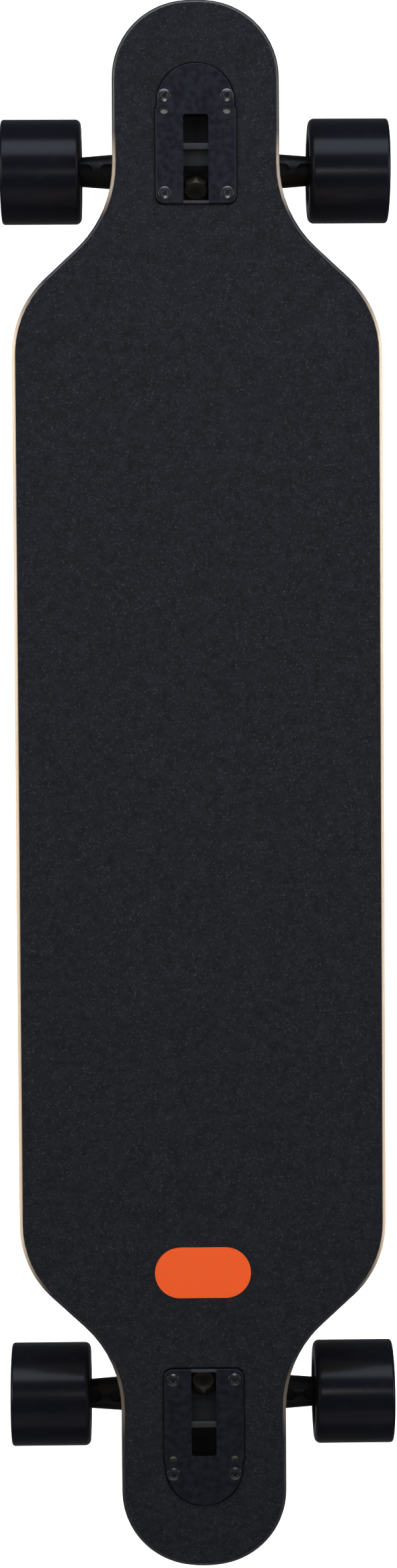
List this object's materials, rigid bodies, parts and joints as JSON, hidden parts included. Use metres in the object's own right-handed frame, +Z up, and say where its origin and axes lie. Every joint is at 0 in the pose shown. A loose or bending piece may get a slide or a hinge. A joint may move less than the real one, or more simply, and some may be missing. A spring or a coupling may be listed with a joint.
{
  "type": "longboard skateboard",
  "caption": "Drop-through longboard with concave maple deck, black grip tape, sprung reverse-kingpin trucks that steer by leaning, and wide urethane wheels on ball bearings.",
  "frame": {"origin": "on the ground under the middle of the board, midway between the trucks", "axes": "+Y along the board towards the nose, +X to the right, +Z up from the ground"},
  "size_m": [0.2614, 1.041, 0.1069],
  "materials": {
    "maple": "clear lacquered maple plies",
    "grip": "fine black grit",
    "inlay_orange": "satin orange film",
    "truck_black": "black powder coat",
    "zinc_steel": "bright zinc",
    "yellow_zinc": "yellow zinc",
    "axle_steel": "ground steel",
    "bearing_steel": "polished",
    "shield_steel": "brushed",
    "spacer_aluminium": "turned",
    "wheel_urethane": "glossy cast urethane",
    "core_nylon": "moulded",
    "cage_nylon": "moulded",
    "cup_urethane": "moulded",
    "bushing_urethane": "cast amber urethane"
  },
  "bodies": {
    "board": {"deck": "maple", "grip_tape": "grip", "badge_inlay": "inlay_orange", "front_mount_screws": "zinc_steel", "front_mount_nuts": "zinc_steel", "front_baseplate": "truck_black", "front_pivot_cup": "cup_urethane", "front_kingpin": "yellow_zinc", "front_kingpin_nut": "zinc_steel", "front_bushing_board": "bushing_urethane", "front_bushing_road": "bushing_urethane", "front_bushing_washers": "zinc_steel", "rear_mount_screws": "zinc_steel", "rear_mount_nuts": "zinc_steel", "rear_baseplate": "truck_black", "rear_pivot_cup": "cup_urethane", "rear_kingpin": "yellow_zinc", "rear_kingpin_nut": "zinc_steel", "rear_bushing_board": "bushing_urethane", "rear_bushing_road": "bushing_urethane", "rear_bushing_washers": "zinc_steel"},
    "front_truck": {"front_hanger": "truck_black", "front_axle": "axle_steel", "front_axle_nuts": "zinc_steel", "front_speed_washers": "zinc_steel", "front_bearing_inner_rings": "bearing_steel", "front_bearing_spacers": "spacer_aluminium"},
    "front_right_wheel": {"front_right_tyre": "wheel_urethane", "front_right_core": "core_nylon", "front_right_bearing_outer_rings": "bearing_steel", "front_right_bearing_shields": "shield_steel"},
    "front_right_balls": {"front_right_bearing_balls": "bearing_steel", "front_right_bearing_cages": "cage_nylon"},
    "front_left_wheel": {"front_left_tyre": "wheel_urethane", "front_left_core": "core_nylon", "front_left_bearing_outer_rings": "bearing_steel", "front_left_bearing_shields": "shield_steel"},
    "front_left_balls": {"front_left_bearing_balls": "bearing_steel", "front_left_bearing_cages": "cage_nylon"},
    "rear_truck": {"rear_hanger": "truck_black", "rear_axle": "axle_steel", "rear_axle_nuts": "zinc_steel", "rear_speed_washers": "zinc_steel", "rear_bearing_inner_rings": "bearing_steel", "rear_bearing_spacers": "spacer_aluminium"},
    "rear_right_wheel": {"rear_right_tyre": "wheel_urethane", "rear_right_core": "core_nylon", "rear_right_bearing_outer_rings": "bearing_steel", "rear_right_bearing_shields": "shield_steel"},
    "rear_right_balls": {"rear_right_bearing_balls": "bearing_steel", "rear_right_bearing_cages": "cage_nylon"},
    "rear_left_wheel": {"rear_left_tyre": "wheel_urethane", "rear_left_core": "core_nylon", "rear_left_bearing_outer_rings": "bearing_steel", "rear_left_bearing_shields": "shield_steel"},
    "rear_left_balls": {"rear_left_bearing_balls": "bearing_steel", "rear_left_bearing_cages": "cage_nylon"}
  },
  "joints": [
    {"name": "front_steer", "type": "hinge", "parent": "board", "child": "front_truck", "pos_m": [0, 0.41137, 0.04014], "axis": [0, 0.6428, 0.766], "range_deg": [-20, 20], "stiffness_Nm_per_rad": 60, "deforming": ["front_bushing_board", "front_bushing_road"]},
    {"name": "front_right_wheel_spin", "type": "hinge", "parent": "front_truck", "child": "front_right_wheel", "pos_m": [0.103, 0.4175, 0.035], "axis": [1, 0, 0], "continuous": true},
    {"name": "front_right_ball_spin", "type": "hinge", "parent": "front_truck", "child": "front_right_balls", "pos_m": [0.103, 0.4175, 0.035], "axis": [1, 0, 0], "continuous": true},
    {"name": "front_left_wheel_spin", "type": "hinge", "parent": "front_truck", "child": "front_left_wheel", "pos_m": [-0.103, 0.4175, 0.035], "axis": [1, 0, 0], "continuous": true},
    {"name": "front_left_ball_spin", "type": "hinge", "parent": "front_truck", "child": "front_left_balls", "pos_m": [-0.103, 0.4175, 0.035], "axis": [1, 0, 0], "continuous": true},
    {"name": "rear_steer", "type": "hinge", "parent": "board", "child": "rear_truck", "pos_m": [0, -0.41137, 0.04014], "axis": [0, -0.6428, 0.766], "range_deg": [-20, 20], "stiffness_Nm_per_rad": 60, "deforming": ["rear_bushing_board", "rear_bushing_road"]},
    {"name": "rear_right_wheel_spin", "type": "hinge", "parent": "rear_truck", "child": "rear_right_wheel", "pos_m": [0.103, -0.4175, 0.035], "axis": [1, 0, 0], "continuous": true},
    {"name": "rear_right_ball_spin", "type": "hinge", "parent": "rear_truck", "child": "rear_right_balls", "pos_m": [0.103, -0.4175, 0.035], "axis": [1, 0, 0], "continuous": true},
    {"name": "rear_left_wheel_spin", "type": "hinge", "parent": "rear_truck", "child": "rear_left_wheel", "pos_m": [-0.103, -0.4175, 0.035], "axis": [1, 0, 0], "continuous": true},
    {"name": "rear_left_ball_spin", "type": "hinge", "parent": "rear_truck", "child": "rear_left_balls", "pos_m": [-0.103, -0.4175, 0.035], "axis": [1, 0, 0], "continuous": true}
  ],
  "couplings": [
    {"joint": "front_right_ball_spin", "follows": "front_right_wheel_spin", "ratio": 0.63},
    {"joint": "front_left_ball_spin", "follows": "front_left_wheel_spin", "ratio": 0.63},
    {"joint": "rear_right_ball_spin", "follows": "rear_right_wheel_spin", "ratio": 0.63},
    {"joint": "rear_left_ball_spin", "follows": "rear_left_wheel_spin", "ratio": 0.63}
  ]
}
